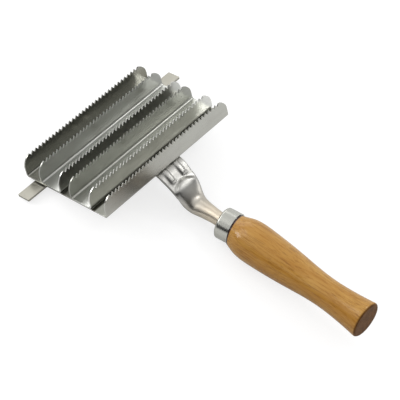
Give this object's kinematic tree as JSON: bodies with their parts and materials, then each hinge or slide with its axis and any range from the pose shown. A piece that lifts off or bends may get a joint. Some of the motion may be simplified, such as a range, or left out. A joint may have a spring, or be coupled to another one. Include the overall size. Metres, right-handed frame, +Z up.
{
  "type": "curry comb",
  "caption": "Metal curry comb: parallel toothed walls folded from sheet steel, a knocker strip across the back, a stamped bracket and a turned wooden handle with a ferrule.",
  "frame": {"origin": "centre of the footprint of the tool as it lies on a table, teeth up, at table level", "axes": "+X along the toothed walls, +Y away from the handle, +Z up"},
  "size_m": [0.1488, 0.2474, 0.0416],
  "materials": {
    "toothed_steel": "satin zinc-plated sheet",
    "strip_steel": "satin zinc-plated bar",
    "bracket_steel": "smooth zinc-plated stamping",
    "ferrule_steel": "polished plated ring",
    "rivet_steel": "plated rivets",
    "varnished_wood": "clear varnish"
  },
  "bodies": {
    "root": {"base_plate": "toothed_steel", "channel_far": "toothed_steel", "channel_near": "toothed_steel", "knocker_strip": "strip_steel", "bracket": "bracket_steel", "ferrule": "ferrule_steel", "handle": "varnished_wood", "channel_rivets": "rivet_steel", "bracket_rivets": "rivet_steel", "strip_rivets": "rivet_steel"}
  },
  "joints": []
}
